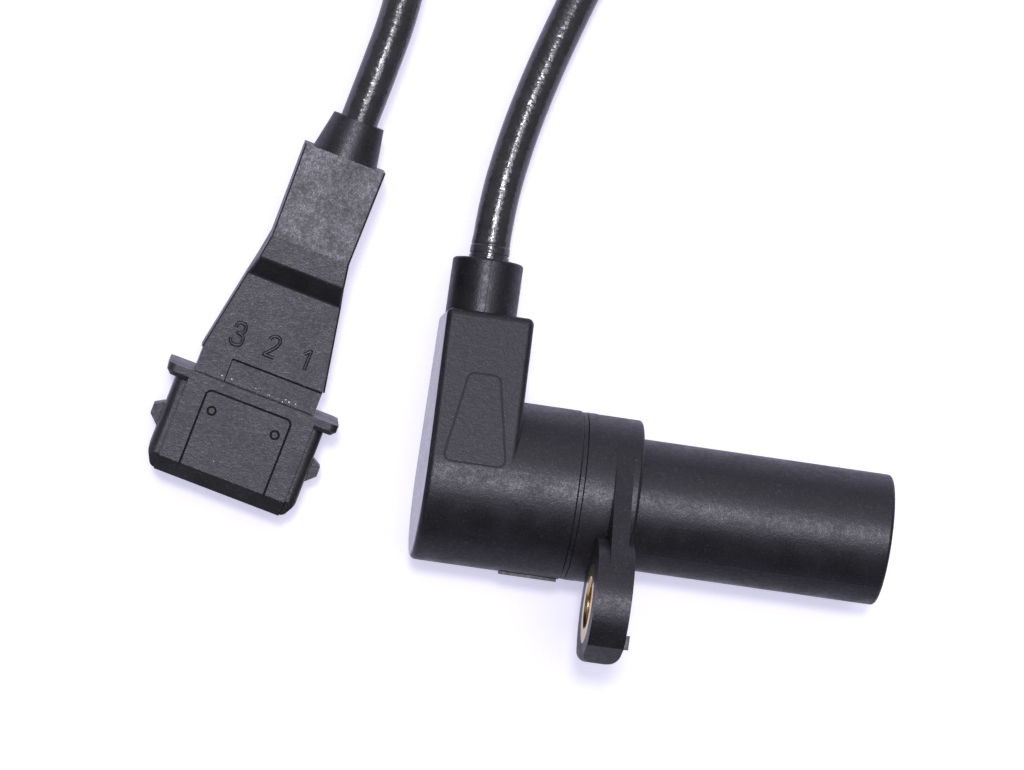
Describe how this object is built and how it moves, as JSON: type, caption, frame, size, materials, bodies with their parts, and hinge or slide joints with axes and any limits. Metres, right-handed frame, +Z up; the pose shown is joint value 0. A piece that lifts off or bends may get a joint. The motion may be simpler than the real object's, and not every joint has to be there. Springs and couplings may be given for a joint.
{
  "type": "crankshaft position sensor",
  "caption": "Inductive crankshaft position sensor: round barrel with a collar and bolt-on ear, side tower with a short cable, and a flat moulded plug with an open shroud.",
  "frame": {"origin": "where the barrel's axis crosses the seating face of the collar", "axes": "+X along the barrel to its tip, +Y the side that the tower and the cable leave on, +Z up as the part lies on a surface"},
  "size_m": [0.1013, 0.1624, 0.0336],
  "materials": {
    "housing_plastic": "fine moulded texture, glass-filled",
    "head_plastic": "fine moulded texture, glass-filled",
    "bush_brass": "turned, bright",
    "pin_steel": "turned soft iron",
    "magnet_metal": "plated magnet",
    "bobbin_nylon": "natural nylon",
    "winding_copper": "enamelled copper wire",
    "terminal_brass": "stamped strip, tinned",
    "cable_jacket": "glossy black jacket",
    "core_insulation": "insulated core",
    "tie_nylon": "nylon cable tie",
    "plug_plastic": "fine moulded texture, glass-filled",
    "backshell_plastic": "fine moulded texture",
    "blade_tin": "tinned blade"
  },
  "bodies": {
    "root": {"sensor_housing": "housing_plastic", "mounting_bush": "bush_brass", "pole_pin": "pin_steel", "magnet": "magnet_metal", "coil_bobbin": "bobbin_nylon", "coil_winding": "winding_copper", "terminal_signal": "terminal_brass", "terminal_return": "terminal_brass", "terminal_shield": "terminal_brass", "elbow_head": "head_plastic", "sensor_cable_end": "cable_jacket", "sensor_core_signal": "core_insulation", "sensor_core_return": "core_insulation", "sensor_core_shield": "core_insulation", "lead_from_sensor": "cable_jacket", "cable_coil": "cable_jacket", "coil_tie": "tie_nylon", "lead_to_plug": "cable_jacket", "plug_shroud": "plug_plastic", "plug_backshell": "backshell_plastic", "plug_cable_end": "cable_jacket", "plug_blade_1": "blade_tin", "plug_blade_2": "blade_tin", "plug_blade_3": "blade_tin", "plug_core_signal": "core_insulation", "plug_core_return": "core_insulation", "plug_core_shield": "core_insulation"}
  },
  "joints": []
}
